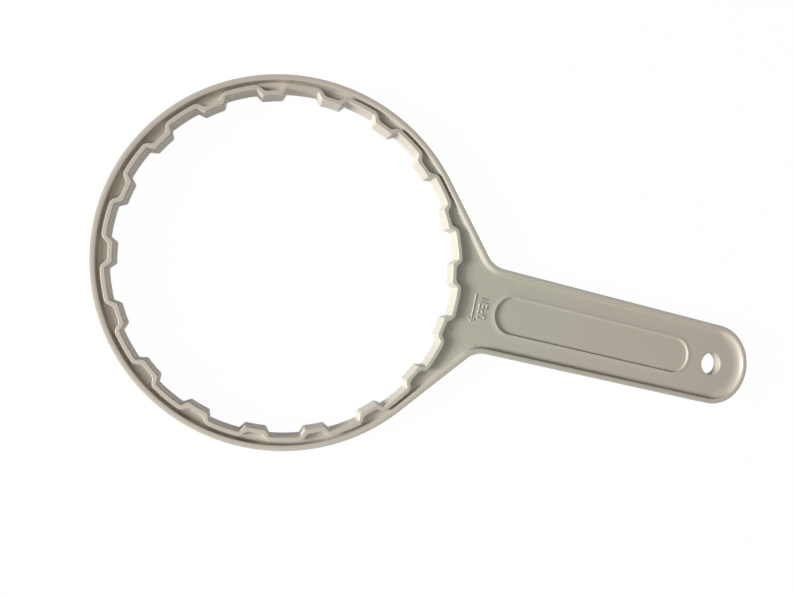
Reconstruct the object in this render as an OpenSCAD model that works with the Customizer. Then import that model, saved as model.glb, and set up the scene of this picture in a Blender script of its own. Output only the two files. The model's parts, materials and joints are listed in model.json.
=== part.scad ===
// Filter housing wrench, moulded in one piece: a toothed ring on a flat handle.
// The section is alike on both faces: a web at mid height, with a flat-topped rim round
// the outline and a toothed wall round the opening, both standing up on either side.
// Origin: centre of the ring, on the surface the wrench lies on. +X runs along the handle.

/* [Ring] */
// Outside diameter of the ring
ring_d = 138; // [134:0.5:160]
// Diameter of the circle through the tooth tips
tip_d = 122.5; // [100:0.5:125]
// Number of teeth round the opening
tooth_count = 18; // [12:2:20]
// Height of a tooth, from its root to its tip
tooth_h = 2.4; // [1.8:0.1:3]
// Width of a tooth across its tip
tooth_tip_w = 7.7; // [5:0.1:9]
// Slope of a tooth's flank, from the radial direction
flank_slope = 39; // [25:1:45]
// Thickness of the toothed wall
tooth_wall_t = 1.9; // [1.4:0.1:2.2]
// Radius of the corners at a tooth's tip
tip_corner_r = 0.6; // [0.3:0.1:0.9]
// Radius of the corners at the roots, to which the wall's thickness adds on the outside
root_corner_r = 1; // [0.5:0.1:1.2]
// Radius of the corners in the pocket behind a tooth
pocket_corner_r = 1.8; // [0.5:0.1:2]

/* [Section] */
// Overall height of the rim and the toothed wall
height = 8; // [7:0.1:14]
// Thickness of the web
web_t = 4; // [2.5:0.1:4.5]
// Width of the rim round the outline
rim_w = 2; // [1.6:0.1:2.4]
// Radius of the rim's edges at both faces
rim_edge_r = 0.4; // [0.2:0.1:0.6]
// Radius of the fillet where the rim meets the web
foot_r = 0.8; // [0.4:0.1:1]

/* [Handle] */
// Width of the handle
handle_w = 35; // [28:0.5:44]
// Distance from the ring's centre to the hanging hole, which centres the rounded end
hole_x = 188; // [150:1:240]
// Angle from the handle's axis at which the flares leave the ring
flare_angle = 41.5; // [36:0.5:48]
// Radius of the neck between a flare and the handle's edge
neck_r = 10; // [6:0.5:16]

/* [Hanging hole] */
// Diameter of the hanging hole
hole_d = 9.5; // [5:0.5:12]
// Radius of the rounded edge of the hole
hole_edge_r = 0.6; // [0.3:0.1:1]

/* [Grip panel] */
// Distance from the ring's centre to the near end of the sunk panel
panel_x = 82.5; // [80:0.5:90]
// Distance from the far end of the panel to the hole's centre
panel_to_hole = 12.5; // [10:0.5:30]
// Width of the panel, which has round ends
panel_w = 15; // [8:0.5:18]
// Depth of the panel below the web's face
panel_depth = 0.6; // [0.3:0.1:1]
// Radius of the fillet round the panel's floor
panel_sole_r = 0.5; // [0.2:0.1:0.8]
// Width of the gentle slope that rises towards the panel's edge
lip_w = 2.2; // [1:0.1:3]
// Height of the panel's edge above the web's face
lip_h = 0.3; // [0.2:0.05:0.5]

/* [Hidden] */
$fn = 96;

// How far a cut runs past the face that it opens
over = 1;
// The straight stretches of the outline are slimmer than the curved ones by a hair, and run
// a little way into them, so that each one is seated in the curves at its ends
slim = 0.02;
seat = 0.4;

// Levels of the web's two faces
web_bottom = (height - web_t)/2;
web_top = web_bottom + web_t;

// Outline of the ring, the flares and the handle
ring_r = ring_d/2;
half_w = handle_w/2;
flare_out = [cos(flare_angle), sin(flare_angle)];
neck = [(ring_r + neck_r - flare_out.y*(half_w + neck_r))/flare_out.x, half_w + neck_r];
flare_start = ring_r*flare_out;
flare_end = neck - neck_r*flare_out;

// The rim's fillet ends below its rounded edge. The rim's section takes in a strip of the web,
// and the web plate overlaps the inner half of the strip.
foot = min(foot_r, web_bottom - rim_edge_r);
strip_w = 0.6;
web_reach = foot + strip_w;
web_inset = rim_w + foot + strip_w/2;

// Circles and spacing of the teeth, and half the width of a tooth at a radius, measured
// square to the tooth's centre line on a profile grown outwards from the opening
tip_r = tip_d/2;
root_r = tip_r + tooth_h;
pitch = 360/tooth_count;
function tooth_half(r, grow) = tooth_tip_w/2 + (r - tip_r)*tan(flank_slope) - grow/cos(flank_slope);

// The point where a flank of the grown profile meets a circle
function flank_point(r, grow) =
    let (
        slope = tan(flank_slope),
        start = tooth_half(0, grow),
        spread = 1 + slope^2,
        x = (sqrt(spread*r^2 - start^2) - slope*start)/spread
    )
    [x, start + slope*x];

// The roundings on the wall's outside share the length of a flank, of which one with a radius
// of 1 takes up corner_reach. Those in a pocket also share its width.
flank_len = tooth_h/cos(flank_slope);
corner_reach = tan(45 - flank_slope/2);
pocket_half = tooth_half(tip_r + tooth_wall_t, tooth_wall_t);
back_root_r = min(root_corner_r + tooth_wall_t, 0.55*flank_len/corner_reach);
back_pocket_r = min(pocket_corner_r, min(0.35*flank_len, 0.8*pocket_half)/corner_reach);

// Round ends of the panel
panel_r = panel_w/2;
panel_near = panel_x + panel_r;
panel_far = hole_x - panel_to_hole - panel_r;

// Rim section, with its outer face on x = 0 and the web towards -x, slimmer all round by less
module rim_section(less = 0) {
    translate([less - rim_w, rim_edge_r])
        square([rim_w - 2*less, height - 2*rim_edge_r]);
    translate([rim_edge_r - rim_w, less])
        square([rim_w - 2*rim_edge_r, height - 2*less]);
    for (x = [rim_edge_r - rim_w, -rim_edge_r], z = [rim_edge_r, height - rim_edge_r])
        translate([x, z])
            circle(rim_edge_r - less);
    translate([less - rim_w - web_reach, web_bottom])
        square([rim_w/2 + web_reach, web_t]);
    for (side = [0, 1])
        translate([less - rim_w, height/2])
            mirror([0, side])
                translate([0, web_t/2])
                    rim_foot(less);
}

// Fillet in the corner between the rim's inner face and the web
module rim_foot(less) {
    inside = rim_w/4;
    difference() {
        translate([-foot, -inside])
            square([foot + inside, foot + inside]);
        translate([-foot, foot])
            circle(foot + less);
    }
}

module straight_rim(from, heading, length) {
    translate(from)
        rotate([90, 0, heading + 90])
            translate([0, 0, -seat])
                linear_extrude(length + 2*seat)
                    rim_section(slim);
}

module arc_rim(centre, r, from, sweep) {
    translate(centre)
        rotate([0, 0, from])
            rotate_extrude(angle = sweep)
                translate([r, 0])
                    rim_section();
}

module neck_rim() {
    translate(neck)
        rotate([0, 0, flare_angle - 180])
            rotate_extrude(angle = 90 - flare_angle)
                translate([neck_r, 0])
                    mirror([1, 0])
                        rim_section();
}

// Rim along the whole outline: ring, flares, necks, handle edges and rounded end
module rim() {
    arc_rim([0, 0], ring_r, flare_angle, 360 - 2*flare_angle);
    arc_rim([hole_x, 0], half_w, -90, 180);
    for (side = [0, 1])
        mirror([0, side]) {
            straight_rim(flare_start, flare_angle - 90, norm(flare_end - flare_start));
            neck_rim();
            straight_rim([neck.x, half_w], 0, hole_x - neck.x);
        }
}

// The outline, drawn in from the rim's outer face by an inset
module outline(inset) {
    curve_edge = half_w - inset;
    edge = curve_edge - slim;
    flare_inset = (inset + slim)*flare_out;
    corners = [flare_start - flare_inset, flare_end - flare_inset, neck, [neck.x, edge], [hole_x, edge]];
    difference() {
        union() {
            circle(ring_r - inset);
            translate([hole_x, 0])
                circle(curve_edge);
            for (side = [0, 1])
                mirror([0, side])
                    polygon(concat([[0, -over]], corners, [[hole_x, -over]]));
        }
        for (side = [-1, 1])
            translate([neck.x, side*neck.y])
                circle(neck_r + inset);
    }
}

// Places a shape on both flanks of every tooth
module at_flanks() {
    for (i = [0 : tooth_count - 1], side = [0, 1])
        rotate((i + 0.5)*pitch)
            mirror([0, side])
                children();
}

// What lies between the corner of a flank with a circle and the corner's rounding, which is
// centred outside the profile if its radius is above 0, and inside it if below
module corner_piece(r, grow, rounding) {
    centre = flank_point(r + rounding, grow + rounding);
    to_corner = flank_point(r, grow) - centre;
    to_circle = centre*r/norm(centre) - centre;
    to_flank = rounding*[-sin(flank_slope), cos(flank_slope)];
    translate(centre)
        difference() {
            polygon([0.95*to_circle, 1.5*to_corner, 0.95*to_flank]);
            circle(abs(rounding) + slim);
        }
}

// The opening's outline, grown outwards: a disc with a notch where each tooth stands in,
// and its corners rounded if radii are given
module toothed_disc(grow, root_round = 0, tip_round = 0) {
    inner_r = tip_r + grow;
    outer_r = root_r + grow;
    ends = [inner_r - over, outer_r + over];
    half = [for (r = ends) tooth_half(r, grow)];
    difference() {
        union() {
            circle(inner_r);
            difference() {
                circle(outer_r);
                for (i = [0 : tooth_count - 1])
                    rotate((i + 0.5)*pitch)
                        polygon([[ends[0], -half[0]], [ends[1], -half[1]], [ends[1], half[1]], [ends[0], half[0]]]);
            }
            if (tip_round > 0)
                at_flanks()
                    corner_piece(inner_r, grow, tip_round);
        }
        if (root_round > 0)
            at_flanks()
                corner_piece(outer_r, grow, -root_round);
    }
}

// Wall round the opening, with a pocket behind each tooth
module toothed_wall() {
    linear_extrude(height)
        difference() {
            toothed_disc(tooth_wall_t, back_root_r, back_pocket_r);
            toothed_disc(0, root_corner_r, tip_corner_r);
        }
}

// Web plate, which ends inside the rim and the toothed wall
module web() {
    translate([0, 0, web_bottom])
        linear_extrude(web_t)
            difference() {
                outline(web_inset);
                toothed_disc(tooth_wall_t/2);
            }
}

// Half sections of the panel, from its middle outwards, with the web's face on y = 0
module panel_section(start, less = 0) {
    sole_r = min(panel_sole_r, panel_depth);
    top = lip_h + over;
    translate([start, sole_r - panel_depth])
        square([panel_r - less - start, top + panel_depth - sole_r]);
    translate([start, less - panel_depth])
        square([panel_r - sole_r - start, top + panel_depth]);
    translate([panel_r - sole_r, sole_r - panel_depth])
        circle(sole_r - less);
}

module lip_section(start, less = 0) {
    sunk = 0.1;
    run = lip_w/lip_h;
    inner = panel_r - lip_w/2;
    translate([0, -less])
        polygon([[start, -sunk], [panel_r + lip_w + run*sunk, -sunk], [inner, 1.5*lip_h], [start, 1.5*lip_h]]);
}

// The panel: what it takes out of one face
module grip_panel() {
    for (x = [panel_near, panel_far])
        translate([x, 0, 0])
            rotate_extrude()
                panel_section(0);
    for (side = [0, 1])
        mirror([0, side])
            translate([panel_near, 0, 0])
                rotate([90, 0, 90])
                    linear_extrude(panel_far - panel_near)
                        panel_section(-over, slim);
}

// The slope that rises round the panel on one face
module panel_lip() {
    for (x = [panel_near, panel_far])
        translate([x, 0, 0])
            rotate_extrude()
                lip_section(0);
    for (side = [0, 1])
        mirror([0, side])
            translate([panel_near, 0, 0])
                rotate([90, 0, 90])
                    linear_extrude(panel_far - panel_near)
                        lip_section(-over, slim);
}

// Places a shape on the web's upper face and, turned over, on its lower one
module both_faces() {
    for (side = [0, 1])
        translate([0, 0, height/2])
            mirror([0, 0, side])
                translate([0, 0, web_t/2])
                    children();
}

// Hanging hole with a rounded edge on either face
module hanging_hole() {
    translate([hole_x, 0, 0])
        cylinder(h = height, d = hole_d);
    both_faces()
        translate([hole_x, 0, 0])
            rotate_extrude()
                hole_edge();
}

module hole_edge() {
    bore_r = hole_d/2;
    difference() {
        translate([0, -hole_edge_r])
            square([bore_r + hole_edge_r, hole_edge_r + over]);
        translate([bore_r + hole_edge_r, -hole_edge_r])
            circle(hole_edge_r);
    }
}

module wrench() {
    color("#B3ACA0")
        difference() {
            union() {
                rim();
                web();
                toothed_wall();
                both_faces()
                    panel_lip();
            }
            hanging_hole();
            both_faces()
                grip_panel();
        }
}

wrench();
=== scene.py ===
import json
import math

import bmesh
import bpy
from mathutils import Matrix, Vector


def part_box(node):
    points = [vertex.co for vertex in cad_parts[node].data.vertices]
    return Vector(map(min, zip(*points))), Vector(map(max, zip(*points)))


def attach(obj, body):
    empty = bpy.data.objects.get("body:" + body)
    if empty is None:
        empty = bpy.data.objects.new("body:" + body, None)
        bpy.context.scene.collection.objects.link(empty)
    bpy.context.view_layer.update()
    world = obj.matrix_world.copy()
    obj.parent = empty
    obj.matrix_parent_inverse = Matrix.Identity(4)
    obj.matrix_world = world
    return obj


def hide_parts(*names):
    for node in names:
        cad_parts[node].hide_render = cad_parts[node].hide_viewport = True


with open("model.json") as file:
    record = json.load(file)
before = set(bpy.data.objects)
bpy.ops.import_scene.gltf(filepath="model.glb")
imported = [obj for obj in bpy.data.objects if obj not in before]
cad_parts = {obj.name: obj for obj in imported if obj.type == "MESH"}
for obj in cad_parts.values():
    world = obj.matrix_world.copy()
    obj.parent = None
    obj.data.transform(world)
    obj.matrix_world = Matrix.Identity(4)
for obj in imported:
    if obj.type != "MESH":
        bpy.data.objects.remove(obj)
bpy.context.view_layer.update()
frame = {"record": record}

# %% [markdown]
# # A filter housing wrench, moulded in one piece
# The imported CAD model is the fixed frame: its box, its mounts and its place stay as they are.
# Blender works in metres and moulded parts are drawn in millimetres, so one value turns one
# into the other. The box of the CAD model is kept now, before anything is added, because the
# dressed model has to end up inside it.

MM = 0.001
low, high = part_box("wrench")
print("CAD box in mm:", [round(v / MM, 2) for v in (*low, *high)])

# %% [markdown]
# ## The camera
# The photo looks like one from a telephone held close above the ring: the handle runs away
# from the lens and looks shorter than it is. A long lens from far off would not show that. So
# the camera's place and direction come from fitting the ring's two rims, the teeth and the
# handle's edges to the picture. The photo frame is 793 by 595 pixels, and its focal length in
# pixels gives the lens for a 36 mm wide sensor.

# %% Lens
PHOTO_WIDTH_PX = 793
FOCAL_PX = 600.0
SENSOR_MM = 36.0

camera_data = bpy.data.cameras.new("photo_camera")
camera_data.sensor_width = SENSOR_MM
camera_data.lens = FOCAL_PX * SENSOR_MM / PHOTO_WIDTH_PX
camera_data.clip_start = 10 * MM
print("lens in mm:", round(camera_data.lens, 2))

# %% Place and direction
camera_place = Vector((-14.39, -14.73, 230.33)) * MM
camera_right = Vector((0.9449, 0.2185, 0.2438)).normalized()
camera_ahead = Vector((0.2390, 0.0485, -0.9698)).normalized()
camera_up = camera_right.cross(camera_ahead)

camera = bpy.data.objects.new("photo_camera", camera_data)
bpy.context.scene.collection.objects.link(camera)
turn = Matrix((camera_right, camera_up, -camera_ahead)).transposed()
camera.matrix_world = Matrix.Translation(camera_place) @ turn.to_4x4()
bpy.context.scene.camera = camera
print("camera above the paper in mm:", round(camera_place.z / MM, 1))

# %% [markdown]
# ## Sizes of the moulding
# What the frame knows is read from it, so that the visible piece can't drift away from the
# solid: the ring's radius is the reach to the side of the origin, the hanging hole is a mount,
# and the handle's rounded end is centred on that hole. The moulding's other sizes stand in the
# cells that first need them.

# %% Sizes from the frame
hole_mount = next(m for m in frame["record"]["mounts"] if m["name"] == "hanging_hole")
hole_x = hole_mount["pos_m"][0]
bore_r = hole_mount["dims"]["r_mm"] * MM
height = high[2] - low[2]
middle = height / 2
ring_r = -low[1]
half_w = high[0] - hole_x

web_t = 4.0 * MM
web_top = middle + web_t / 2
print("ring radius", round(ring_r / MM, 2), "handle half width", round(half_w / MM, 2))

# %% [markdown]
# ## Drawing in the plane
# A moulding like this is drawn as outlines first. They could be curve objects, but a bmesh
# lets the same outline be inset into a solid later. A pen that starts as one vertex draws them:
# an extrude carries it along a straight run, and a spin carries it round an arc. The ends are
# then merged, and the closed wire is filled with a single face.

# %% The pen
SAME_POINT = 0.001 * MM


def straight(bm, pen, step):
    """Carries the pen along a straight run and returns its new place."""
    ahead = bmesh.ops.extrude_vert_indiv(bm, verts=[pen])["verts"][0]
    bmesh.ops.translate(bm, verts=[ahead], vec=step)
    return ahead


def arc(bm, pen, centre, angle, steps):
    """Carries the pen round a centre by an angle and returns its new place."""
    swung = bmesh.ops.spin(
        bm, geom=[pen], cent=centre, axis=(0, 0, 1), angle=angle, steps=steps,
        use_merge=False, use_normal_flip=False, use_duplicate=False,
    )
    return next(g for g in swung["geom_last"] if isinstance(g, bmesh.types.BMVert))


# %% Closing a drawn wire
def drawn_verts(bm):
    """The vertices of the wire that is drawn and not yet filled."""
    return [v for v in bm.verts if v.is_wire]


def drawn_edges(bm):
    """The edges of the wire that is drawn and not yet filled."""
    return [e for e in bm.edges if e.is_wire]


def close_and_fill(bm):
    """Merges the ends of the drawn wire and fills it with one face that looks up."""
    bmesh.ops.remove_doubles(bm, verts=drawn_verts(bm), dist=SAME_POINT)
    face = bmesh.ops.edgeloop_fill(bm, edges=drawn_edges(bm))["faces"][0]
    face.normal_update()
    if face.normal.z < 0:
        bmesh.ops.reverse_faces(bm, faces=[face])
    return face


# %% [markdown]
# ## Sections
# Every edge of the moulding has a section: the rim's rounded crest and its soft foot, the
# crest of the toothed wall, the edge of the sunk panel. A bevel would give each edge one round
# only. An inset with a depth moves the edge of a face inwards and up or down by a step, so a
# face that is inset along the points of a section leaves that section behind it, all the way
# round its outline, with any mix of rounds and slopes.

# %% Rounds of a section
def quarter(start, inward, rise, first_way, steps):
    """Points of a quarter round, which moves first across ("in") or first upright ("up")."""
    points = []
    for i in range(1, steps + 1):
        a = math.pi / 2 * i / steps
        far, near = math.sin(a), 1 - math.cos(a)
        if first_way == "in":
            points.append((start[0] + inward * far, start[1] + rise * near))
        else:
            points.append((start[0] + inward * near, start[1] + rise * far))
    return points


def bend(start, radius, first, last, steps):
    """Points of an arc that falls inwards while its slope turns from one angle to another."""
    way = 1 if last > first else -1
    points = []
    for i in range(1, steps + 1):
        a = first + (last - first) * i / steps
        across = way * radius * (math.sin(a) - math.sin(first))
        drop = way * radius * (math.cos(first) - math.cos(a))
        points.append((start[0] + across, start[1] - drop))
    return points


# %% Following a section
def follow(bm, face, section):
    """Insets a face along a section of (inward, height) points."""
    for here, there in zip(section, section[1:]):
        bmesh.ops.inset_region(
            bm, faces=[face], thickness=there[0] - here[0], depth=there[1] - here[1],
            use_even_offset=True, use_boundary=True,
        )


def open_up(bm, face):
    """Takes a face away and leaves the edges that were round it."""
    bmesh.ops.delete(bm, geom=[face], context="FACES_ONLY")


# %% [markdown]
# ## The rim
# The rim follows the whole outline: round the ring, down the two flares that touch it, round
# the necks, along the handle and round its end. Only the upper half is modelled, from mid
# height up, because the mould's two halves meet there and the lower face is alike. A faint
# ridge at mid height is where they meet. The rim's crest is slightly domed and its inner side
# slopes down to the web. A section swept along a curve would still have to be joined to the
# web, while the insets end in the very edge that the web is filled from.

# %% Outline
flare_angle = math.radians(41.5)
neck_r = 10.0 * MM
ring_steps, neck_steps, end_steps = 280, 20, 90

flare_out = Vector((math.cos(flare_angle), math.sin(flare_angle), 0))
neck_y = half_w + neck_r
neck_x = (ring_r + neck_r - flare_out.y * neck_y) / flare_out.x
neck_turn = flare_angle - math.pi / 2
flare_start = ring_r * flare_out
flare_run = Vector((neck_x, neck_y, 0)) - neck_r * flare_out - flare_start
mirrored = Vector((1, -1, 1))
lift = Vector((0, 0, middle))

body = bmesh.new()
pen = bmesh.ops.create_vert(body, co=flare_start + lift)["vert"][0]
pen = arc(body, pen, lift, 2 * math.pi - 2 * flare_angle, ring_steps)
pen = straight(body, pen, flare_run * mirrored)
pen = arc(body, pen, Vector((neck_x, -neck_y, middle)), neck_turn, neck_steps)
pen = straight(body, pen, (hole_x - neck_x, 0, 0))
pen = arc(body, pen, Vector((hole_x, 0, middle)), math.pi, end_steps)
pen = straight(body, pen, (neck_x - hole_x, 0, 0))
pen = arc(body, pen, Vector((neck_x, neck_y, middle)), neck_turn, neck_steps)
straight(body, pen, -flare_run)
outline_face = close_and_fill(body)
print("outline:", len(outline_face.verts), "points")

# %% Outer side and crest of the rim's section
rim_w = 2.2 * MM
rim_edge_r = 0.25 * MM
shoulder_r = 0.40 * MM
crown_drop = 0.06 * MM
crown_steps = 8
draft = 0.04 * MM
seam = 0.06 * MM

crown_edge = height - crown_drop
outer_top = (seam + draft, crown_edge - rim_edge_r)
rim_section = [(0, middle), (0, middle + seam), (seam, middle + 2 * seam), outer_top]
rim_section += quarter(outer_top, rim_edge_r, rim_edge_r, "up", steps=5)
crown_start = rim_section[-1][0]
for i in range(1, crown_steps + 1):
    t = i / crown_steps
    across = crown_start + t * (rim_w - shoulder_r - crown_start)
    rim_section.append((across, height - crown_drop * (2 * t - 1) ** 2))
print("crest is domed by", round(crown_drop / MM, 2), "mm")

# %% Inner side and foot of the rim's section
rim_slope = math.radians(75)
rim_foot_r = 0.35 * MM

rim_section += bend(rim_section[-1], shoulder_r, 0, rim_slope, steps=6)
flank_top = rim_section[-1]
foot_z = web_top + rim_foot_r * (1 - math.cos(rim_slope))
foot_start = (flank_top[0] + (flank_top[1] - foot_z) / math.tan(rim_slope), foot_z)
rim_section += [foot_start] + bend(foot_start, rim_foot_r, rim_slope, 0, steps=8)
follow(body, outline_face, rim_section)
open_up(body, outline_face)
print("rim:", len(rim_section), "points in its section,", len(body.faces), "faces")

# %% [markdown]
# ## The foot at the handle's end
# Inside the rounded end of the handle the foot of the rim runs out in a long soft curve, which
# catches the light as a pale crescent. A second section would need a seam where it meets the
# first. Instead the points of the foot that is already there are spread inwards and upwards,
# not at all at the straight edges and fully half way to the tip.

# %% Softer foot at the handle's end
end_foot = Vector((11.0, 3.4))
full_reach = 0.5 * half_w
touch = 0.01 * MM
softened = 0
for v in body.verts:
    reach = v.co.x - hole_x
    spread = math.hypot(reach, v.co.y)
    beyond = half_w - foot_start[0] - spread
    if reach > 0 and beyond > -touch and v.co.z < foot_z + touch:
        share = min(reach / full_reach, 1)
        ease = share * share * (3 - 2 * share)
        wider, taller = Vector((1, 1)).lerp(end_foot, ease)
        shrink = 1 - beyond * (wider - 1) / spread
        v.co.x = hole_x + reach * shrink
        v.co.y *= shrink
        v.co.z = web_top + (v.co.z - web_top) * taller
        softened += 1
print("points of the foot that were spread:", softened)

# %% [markdown]
# ## The toothed wall
# Eighteen teeth stand into the opening, one every 20 degrees, and grip the ribs of the housing.
# The wall behind them keeps its thickness, as a moulding needs, so each tooth has a pocket on
# the outside. An array of separate teeth would leave joints in the wall. So one tooth is drawn
# with the pen, its corners are rounded with a vertex bevel, and a spin repeats it round the
# ring. The pocket side is followed up from the web, the tooth side down from the crest.

# %% Sizes of a tooth
tooth_count = 18
pitch = 2 * math.pi / tooth_count
tip_r = 61.25 * MM
tooth_h = 2.4 * MM
tooth_half = 3.85 * MM
flank = math.radians(39)


def flank_point(radius, grow):
    """Where a flank of the outline, grown outwards, meets a circle: along and across the tooth."""
    slope = math.tan(flank)
    across = tooth_half - tip_r * slope - grow / math.cos(flank)
    spread = 1 + slope ** 2
    along = (math.sqrt(spread * radius ** 2 - across ** 2) - across * slope) / spread
    return along, across + slope * along


print("half a tooth at its root in mm:", round(flank_point(tip_r + tooth_h, 0)[1] / MM, 2))

# %% One tooth, repeated round the ring
arc_steps = 4
corner_steps = 4


def draw_tooth(bm, grow, level):
    """Draws one tooth from mid gap to mid gap and returns its root and tip corners."""
    inner, outer = tip_r + grow, tip_r + tooth_h + grow
    root = Vector((*flank_point(outer, grow), level))
    tip = Vector((*flank_point(inner, grow), level))
    half_tip = math.atan2(tip.y, tip.x)
    half_root = pitch / 2 - math.atan2(root.y, root.x)
    centre = Vector((0, 0, level))
    half_pitch = Matrix.Rotation(pitch / 2, 3, "Z")
    start = bmesh.ops.create_vert(bm, co=(outer, 0, level))["vert"][0]
    first_root = arc(bm, start, centre, half_root, arc_steps)
    first_tip = straight(bm, first_root, half_pitch @ ((tip - root) * mirrored))
    last_tip = arc(bm, first_tip, centre, 2 * half_tip, arc_steps)
    last_root = straight(bm, last_tip, half_pitch @ (root - tip))
    arc(bm, last_root, centre, half_root, arc_steps)
    return first_root, first_tip, last_tip, last_root


def tooth_loop(bm, grow, level, tip_round, root_round):
    """Draws the opening's outline, grown outwards, at a level and fills it with one face."""
    corners = draw_tooth(bm, grow, level)
    for corner, offset in zip(corners, (root_round, tip_round, tip_round, root_round)):
        bmesh.ops.bevel(
            bm, geom=[corner], offset=offset, offset_type="OFFSET", affect="VERTICES",
            segments=corner_steps, profile=0.5, material=-1,
        )
    bmesh.ops.spin(
        bm, geom=drawn_verts(bm) + drawn_edges(bm), cent=(0, 0, level), axis=(0, 0, 1),
        angle=2 * math.pi, steps=tooth_count,
        use_merge=False, use_normal_flip=False, use_duplicate=True,
    )
    return close_and_fill(bm)


# %% Pocket side, up from the web
wall_t = 1.9 * MM
wall_edge_r = 0.25 * MM
wall_foot_r = 0.40 * MM
pocket_tip_round, pocket_root_round = 0.9 * MM, 1.5 * MM

pocket_face = tooth_loop(
    body, wall_t + wall_foot_r, web_top, pocket_tip_round, pocket_root_round,
)
wall_edge = (wall_foot_r + draft, height - wall_edge_r)
pocket_section = [(0, web_top)]
pocket_section += quarter((0, web_top), wall_foot_r, wall_foot_r, "in", steps=5)
pocket_section += [wall_edge] + quarter(wall_edge, wall_edge_r, wall_edge_r, "up", steps=4)
follow(body, pocket_face, pocket_section)
open_up(body, pocket_face)
print("with the pocket side:", len(body.faces), "faces")

# %% Tooth side, down from the crest
tooth_edge_r = 0.45 * MM
tooth_tip_round, tooth_root_round = 0.3 * MM, 0.5 * MM

tooth_face = tooth_loop(body, tooth_edge_r + seam, height, tooth_tip_round, tooth_root_round)
tooth_foot = tooth_edge_r + draft
tooth_section = [(0, height)]
tooth_section += quarter((0, height), tooth_edge_r, -tooth_edge_r, "in", steps=5)
tooth_section += [(tooth_foot, middle + 2 * seam), (tooth_foot + seam, middle + seam)]
tooth_section += [(tooth_foot + seam, middle)]
follow(body, tooth_face, tooth_section)
open_up(body, tooth_face)
print("with the tooth side:", len(body.faces), "faces")


# %% Crest of the wall
def open_edges_at(bm, level):
    """The edges at a level that have a face on one side only."""
    edges = [e for e in bm.edges if e.is_boundary]
    return [e for e in edges if all(abs(v.co.z - level) < SAME_POINT for v in e.verts)]


crest = bmesh.ops.bridge_loops(body, edges=open_edges_at(body, height))
print("crest of the wall:", len(crest["faces"]), "faces")

# %% [markdown]
# ## The grip panel
# The handle has a sunk panel with round ends, which saves plastic and gives the thumb a hold.
# The web swells into a low lip round it, and the panel drops steeply inside the lip. A boolean
# could cut it, but would leave the lip to be made by itself. Here the lip's outer edge is drawn
# on the web's face, and one section makes the swell, the edge and the sole.

# %% Outline of the lip
panel_start = 82.0 * MM
panel_to_hole = 12.5 * MM
panel_end = hole_x - panel_to_hole
panel_half = 7.7 * MM
lip_w = 2.1 * MM
panel_steps = 60
near_x, far_x = panel_start + panel_half, panel_end - panel_half

pen = bmesh.ops.create_vert(body, co=(near_x, panel_half + lip_w, web_top))["vert"][0]
pen = arc(body, pen, (near_x, 0, web_top), math.pi, panel_steps)
pen = straight(body, pen, (far_x - near_x, 0, 0))
pen = arc(body, pen, (far_x, 0, web_top), math.pi, panel_steps)
straight(body, pen, (near_x - far_x, 0, 0))
panel_face = close_and_fill(body)
print("panel length in mm:", round((panel_end - panel_start) / MM, 1))

# %% Lip and panel
panel_depth = 0.7 * MM
panel_edge_r = 0.12 * MM
panel_sole = Vector((0.50, 0.25)) * MM
lip_h = 0.25 * MM
lip_curve = 1.5
lip_steps = 8

lip_section = []
for i in range(lip_steps + 1):
    t = i / lip_steps
    lip_section.append((lip_w * t, web_top + lip_h * t ** lip_curve))
lip_section += quarter(lip_section[-1], panel_edge_r, -panel_edge_r, "in", steps=4)
sole_start = (lip_section[-1][0] + draft, web_top - panel_depth + panel_sole.y)
lip_section += [sole_start]
lip_section += quarter(sole_start, panel_sole.x, -panel_sole.y, "up", steps=8)
follow(body, panel_face, lip_section)
print("panel floor below the web in mm:", round((web_top - lip_section[-1][1]) / MM, 2))

# %% [markdown]
# ## The hanging hole
# A round hole at the handle's end takes a hook. Its mouth is rounded, so that it shows a soft
# ring of light. It is drawn as a circle on the web's face and followed down to mid height, so
# the mirror that makes the lower half also makes the hole's other mouth.

# %% Hanging hole
hole_edge_r = 0.6 * MM
hole_steps = 64
mouth_r = bore_r + hole_edge_r

pen = bmesh.ops.create_vert(body, co=(hole_x + mouth_r, 0, web_top))["vert"][0]
arc(body, pen, (hole_x, 0, web_top), 2 * math.pi, hole_steps)
hole_face = close_and_fill(body)
mouth = quarter((0, web_top), hole_edge_r, -hole_edge_r, "in", steps=6)
follow(body, hole_face, [(0, web_top)] + mouth + [(hole_edge_r, middle)])
open_up(body, hole_face)
print("hole diameter in mm:", round(2 * bore_r / MM, 2))

# %% [markdown]
# ## The web
# The web is the flat plate that joins everything. What is left open between the rim's foot, the
# wall's foot, the lip and the hole's mouth is the web itself. It is flat, so a triangle fill can
# close it round all its holes at once.

# %% Web
web = bmesh.ops.triangle_fill(
    body, edges=open_edges_at(body, web_top), use_beauty=True, use_dissolve=False,
    normal=(0, 0, 1),
)
print("web:", len([g for g in web["geom"] if isinstance(g, bmesh.types.BMFace)]), "triangles")

# %% [markdown]
# ## The other half
# The two halves of such a mould are alike, so a mirror at mid height makes the lower half and
# joins it at the parting plane. After that every edge has to lie between exactly two faces,
# which the count of open edges shows.

# %% Mirror and close
bmesh.ops.mirror(
    body, geom=body.verts[:] + body.edges[:] + body.faces[:], axis="Z",
    matrix=Matrix.Translation((0, 0, -middle)), merge_dist=SAME_POINT,
)
bmesh.ops.remove_doubles(body, verts=body.verts[:], dist=SAME_POINT / 2)
bmesh.ops.recalc_face_normals(body, faces=body.faces[:])
open_edges = [e for e in body.edges if len(e.link_faces) != 2]
print("open edges:", len(open_edges), "volume in mm3:", round(body.calc_volume() / MM ** 3, 1))
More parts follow.
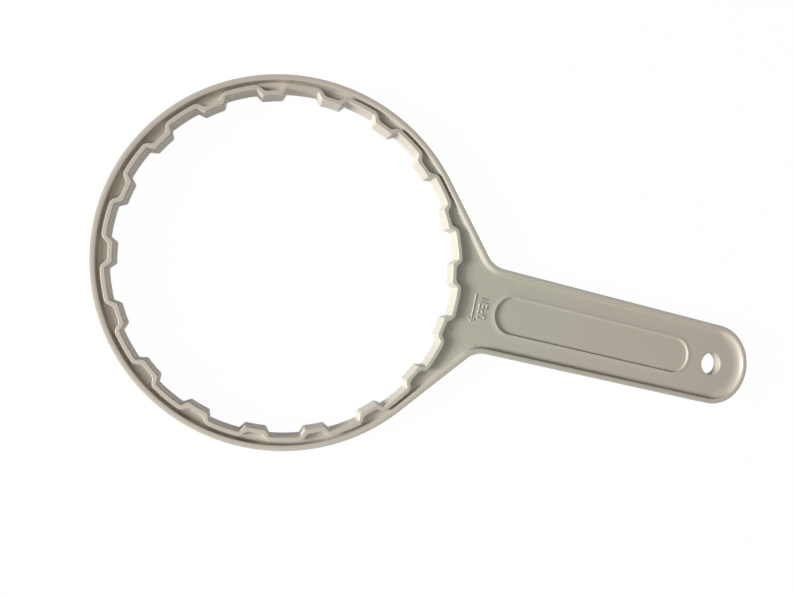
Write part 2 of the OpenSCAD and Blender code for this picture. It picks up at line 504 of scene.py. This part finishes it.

# %% [markdown]
# ## Moulded plastic
# The wrench is a light grey plastic, such as ABS, straight from a mould with a fine satin
# finish, so light spreads softly over it. A single colour would do for the shape, but the grey
# is made a little greener round the neck than at the ends, and there is one dark speck in it.
# Both are placed by their distance from a point, which stays in place from any side.

# %% Colours and nodes
def linear(hex_colour):
    """An sRGB hex colour as linear red, green, blue and alpha."""
    values = [int(hex_colour[i:i + 2], 16) / 255 for i in (1, 3, 5)]
    return [v / 12.92 if v <= 0.04045 else ((v + 0.055) / 1.055) ** 2.4 for v in values] + [1.0]


def add_node(owner, kind, settings=None, inputs=None):
    """Adds a node, sets its properties and fills or links its inputs."""
    tree = owner.node_tree
    node = tree.nodes.new(kind)
    for name, value in (settings or {}).items():
        setattr(node, name, value)
    for name, value in (inputs or {}).items():
        if isinstance(value, bpy.types.NodeSocket):
            tree.links.new(value, node.inputs[name])
        else:
            node.inputs[name].default_value = value
    return node


# %% Tone: greener grey at the neck, warmer towards both ends
neck_place = (75 * MM, 5 * MM, web_top)
drift_start, drift_end = 15 * MM, 95 * MM
neck_grey, end_grey = "#A8A596", "#ACA496"

plastic = bpy.data.materials.new("satin_moulded_abs")
plastic.use_nodes = True
plastic.node_tree.nodes.clear()
place = add_node(plastic, "ShaderNodeTexCoord").outputs["Object"]
from_neck = add_node(plastic, "ShaderNodeVectorMath", {"operation": "DISTANCE"}, {
    0: place, 1: neck_place,
})
drift = add_node(plastic, "ShaderNodeMapRange", inputs={
    "Value": from_neck.outputs["Value"], "From Min": drift_start, "From Max": drift_end,
})
tone = add_node(plastic, "ShaderNodeMix", {"data_type": "RGBA"}, {
    "Factor": drift.outputs["Result"], "A": linear(neck_grey), "B": linear(end_grey),
})
print("plastic goes from", neck_grey, "to", end_grey)

# %% One dark speck on the web, near the lower neck
speck_place = (76.9 * MM, -14.9 * MM, web_top)
speck_r = 0.28 * MM
speck_brown = "#6E675C"

from_speck = add_node(plastic, "ShaderNodeVectorMath", {"operation": "DISTANCE"}, {
    0: place, 1: speck_place,
})
speck = add_node(plastic, "ShaderNodeMath", {"operation": "LESS_THAN"}, {
    0: from_speck.outputs["Value"], 1: speck_r,
})
colour = add_node(plastic, "ShaderNodeMix", {"data_type": "RGBA"}, {
    "Factor": speck.outputs[0], "A": tone.outputs["Result"], "B": linear(speck_brown),
})
print("speck across in mm:", round(2 * speck_r / MM, 2))

# %% Satin surface, with a grain too fine to see by itself that keeps highlights soft
grain_size = 0.3 * MM
grain_depth = 0.01 * MM

grain = add_node(plastic, "ShaderNodeTexNoise", inputs={
    "Vector": place, "Scale": 1 / grain_size, "Detail": 2.0,
})
bump = add_node(plastic, "ShaderNodeBump", inputs={
    "Height": grain.outputs["Fac"], "Strength": 0.25, "Distance": grain_depth,
})
shader = add_node(plastic, "ShaderNodeBsdfPrincipled", inputs={
    "Base Color": colour.outputs["Result"], "Roughness": 0.45, "IOR": 1.5,
    "Normal": bump.outputs["Normal"],
})
add_node(plastic, "ShaderNodeOutputMaterial", inputs={"Surface": shader.outputs["BSDF"]})
print("plastic:", len(plastic.node_tree.nodes), "nodes")

# %% The wrench as a piece
SHARP_ANGLE = math.radians(50)


def make_piece(name, bm, material):
    """Makes an object of a bmesh, smooth where faces meet at a low angle."""
    mesh = bpy.data.meshes.new(name)
    bm.to_mesh(mesh)
    bm.free()
    mesh.materials.append(material)
    mesh.shade_smooth()
    mesh.set_sharp_from_angle(angle=SHARP_ANGLE)
    piece = bpy.data.objects.new(name, mesh)
    bpy.context.scene.collection.objects.link(piece)
    weigh = piece.modifiers.new("flat_faces_stay_flat", "WEIGHTED_NORMAL")
    weigh.keep_sharp = True
    print(name, "has", len(mesh.polygons), "faces")
    return piece


wrench = make_piece("moulded_wrench", body, plastic)
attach(wrench, "root")
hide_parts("wrench")

# %% [markdown]
# ## The marking
# A raised arrow and the word OPEN stand on the web between the ring and the panel. They tell
# which way to turn the wrench, as such marks do on most of these tools. A text object would
# have a printed letter's thick and thin parts, but a mould maker cuts such letters with one
# round cutter. So each letter is a few strokes in a square of its own, as wide and as high as
# 1, and a round bevel makes the strokes ridges.

# %% Letters
def bow(centre, half, start, end, steps=16):
    """Points on an elliptical arc between two angles in degrees."""
    angles = [math.radians(start + (end - start) * i / steps) for i in range(steps + 1)]
    return [(centre[0] + half[0] * math.cos(a), centre[1] + half[1] * math.sin(a)) for a in angles]


letters = {
    "O": [bow((0.5, 0.5), (0.5, 0.5), 0, 360)],
    "P": [[(0, 0), (0, 1)] + bow((0.5, 0.73), (0.5, 0.27), 90, -90) + [(0, 0.46)]],
    "E": [[(1, 1), (0, 1), (0, 0), (1, 0)], [(0, 0.5), (0.85, 0.5)]],
    "N": [[(0, 0), (0, 1), (1, 0), (1, 1)]],
}
print("letters:", " ".join(letters))

# %% Arrow and word on the web
letter_w, letter_h, letter_step = 1.6 * MM, 3.3 * MM, 2.22 * MM
word_x, word_y = 78.1 * MM, -4.3 * MM
arrow_x, arrow_tail, arrow_tip = 72.6 * MM, 5.3 * MM, -5.85 * MM
barb = 1.35 * MM

strokes = [
    [(arrow_x, arrow_tail), (arrow_x, arrow_tip)],
    [(arrow_x - barb, arrow_tip + barb), (arrow_x, arrow_tip), (arrow_x + barb, arrow_tip + barb)],
]
for i, letter in enumerate("OPEN"):
    letter_y = word_y + i * letter_step
    for stroke in letters[letter]:
        strokes.append([(word_x - v * letter_h, letter_y + u * letter_w) for u, v in stroke])
print("marking:", len(strokes), "strokes")

# %% Strokes as ridges
stroke_r = 0.33 * MM
stroke_sink = 0.01 * MM
stroke_z = web_top - stroke_sink

ridges = bpy.data.curves.new("marking_strokes", "CURVE")
ridges.dimensions = "3D"
ridges.bevel_depth = stroke_r
ridges.bevel_resolution = 2
ridges.use_fill_caps = True
for stroke in strokes:
    spline = ridges.splines.new("POLY")
    spline.points.add(len(stroke) - 1)
    for point, (x, y) in zip(spline.points, stroke):
        point.co = (x, y, stroke_z, 1)
ridge_mesh = bpy.data.meshes.new_from_object(bpy.data.objects.new("marking_strokes", ridges))
marking_bm = bmesh.new()
marking_bm.from_mesh(ridge_mesh)
marking = make_piece("open_marking", marking_bm, plastic)
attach(marking, "root")

# %% [markdown]
# ## A crumb of flash
# Flash is the thin plastic that creeps between the halves of a mould. A crumb of it is left on
# the rim, along the handle's lower edge. It is too small to need a shape of its own, so a ball
# that is stretched along the rim stands for it.

# %% Crumb of flash
crumb_place = Vector((114.1 * MM, rim_edge_r - half_w, crown_edge - rim_edge_r))
crumb_half = Vector((0.8, 0.28, 0.3)) * MM

crumb_bm = bmesh.new()
bmesh.ops.create_icosphere(crumb_bm, subdivisions=3, radius=1)
bmesh.ops.scale(crumb_bm, vec=crumb_half, verts=crumb_bm.verts)
bmesh.ops.translate(crumb_bm, vec=crumb_place, verts=crumb_bm.verts)
crumb = make_piece("flash_crumb", crumb_bm, plastic)
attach(crumb, "root")

# %% [markdown]
# ## The paper
# The photo has a plain white ground. More light would make it white and bleach the wrench too.
# So to the camera, and in reflections, the paper shows an even white with a trace of the real
# paper in it, which keeps the shadow of the wrench. Onto the plastic it throws back light as
# real paper does.

# %% Where the ground is seen
def where_seen(owner):
    """1 where the camera sees a surface, also in a reflection or through glass, else 0."""
    path = add_node(owner, "ShaderNodeLightPath")
    by_eye = add_node(owner, "ShaderNodeMath", {"operation": "MAXIMUM"}, {
        0: path.outputs["Is Camera Ray"], 1: path.outputs["Is Glossy Ray"],
    })
    by_glass = add_node(owner, "ShaderNodeMath", {"operation": "MAXIMUM"}, {
        0: by_eye.outputs[0], 1: path.outputs["Is Transmission Ray"],
    })
    return by_glass.outputs[0]


# %% Paper
glow_share = 0.98
floor_half = 2.0

white = bpy.data.materials.new("white_paper")
white.use_nodes = True
white.node_tree.nodes.clear()
veil = add_node(white, "ShaderNodeMath", {"operation": "MULTIPLY"}, {
    0: where_seen(white), 1: glow_share,
})
paper = add_node(white, "ShaderNodeBsdfDiffuse", inputs={"Color": linear("#F7F7F7")})
glow = add_node(white, "ShaderNodeEmission", inputs={"Color": linear("#FFFFFF"), "Strength": 1.0})
paper_seen = add_node(white, "ShaderNodeMixShader", inputs={
    0: veil.outputs[0], 1: paper.outputs[0], 2: glow.outputs[0],
})
add_node(white, "ShaderNodeOutputMaterial", inputs={"Surface": paper_seen.outputs[0]})
# The glow lights nothing, so no light rays are sent to it, and the plastic has less noise
white.cycles.emission_sampling = "NONE"

floor_mesh = bmesh.new()
bmesh.ops.create_grid(floor_mesh, x_segments=1, y_segments=1, size=floor_half)
floor = make_piece("floor", floor_mesh, white)

# %% [markdown]
# ## The light
# A low window on the left is the main light, a touch bluer than the rest. It makes the teeth
# across the ring bright and leaves the shadow behind the wall. The sky in it stands higher, a
# lamp in the room gives light from above, and the wall across the room sends some back, so
# nothing is black. A sun lamp would draw hard shadows, so all of them are area lamps. Each is
# placed by its bearing and elevation, which makes it easy to try another.

# %% Lamps
def area_lamp(name, bearing, elevation, distance, size, watts, colour="#FFFFFF"):
    """A soft lamp, placed by its bearing and elevation in degrees, that looks at the wrench."""
    data = bpy.data.lights.new(name, "AREA")
    data.shape = "RECTANGLE"
    data.size, data.size_y = size
    data.energy = watts
    data.color = linear(colour)[:3]
    lamp = bpy.data.objects.new(name, data)
    bpy.context.scene.collection.objects.link(lamp)
    around, up = math.radians(bearing), math.radians(elevation)
    flat = math.cos(up)
    away = Vector((math.cos(around) * flat, math.sin(around) * flat, math.sin(up)))
    facing = away.to_track_quat("Z", "Y").to_matrix().to_4x4()
    lamp.matrix_world = Matrix.Translation(distance * away) @ facing
    print(name, "stands", round(distance * away.z, 2), "m above the paper")


area_lamp("window", 195, 20, 1.8, (0.52, 0.45), 62.5, "#FBFBFF")
area_lamp("sky_in_the_window", 199, 38, 1.2, (0.35, 0.30), 3.8)
area_lamp("room_lamp", 270, 62, 0.7, (0.45, 0.45), 1.6)
area_lamp("wall_across_the_room", 13, 6, 1.2, (0.80, 0.15), 2.8)

# %% Room around the wrench
faint_strength = 0.02

world = bpy.data.worlds.new("room")
world.use_nodes = True
world.node_tree.nodes.clear()
faint = add_node(world, "ShaderNodeBackground", inputs={
    "Color": linear("#FFFFFF"), "Strength": faint_strength,
})
plain_white = add_node(world, "ShaderNodeBackground", inputs={
    "Color": linear("#FFFFFF"), "Strength": 1.0,
})
room = add_node(world, "ShaderNodeMixShader", inputs={
    0: where_seen(world), 1: faint.outputs[0], 2: plain_white.outputs[0],
})
add_node(world, "ShaderNodeOutputWorld", inputs={"Surface": room.outputs[0]})
bpy.context.scene.world = world
bpy.context.scene.view_settings.view_transform = "Standard"
print("lamps:", len(bpy.data.lights))
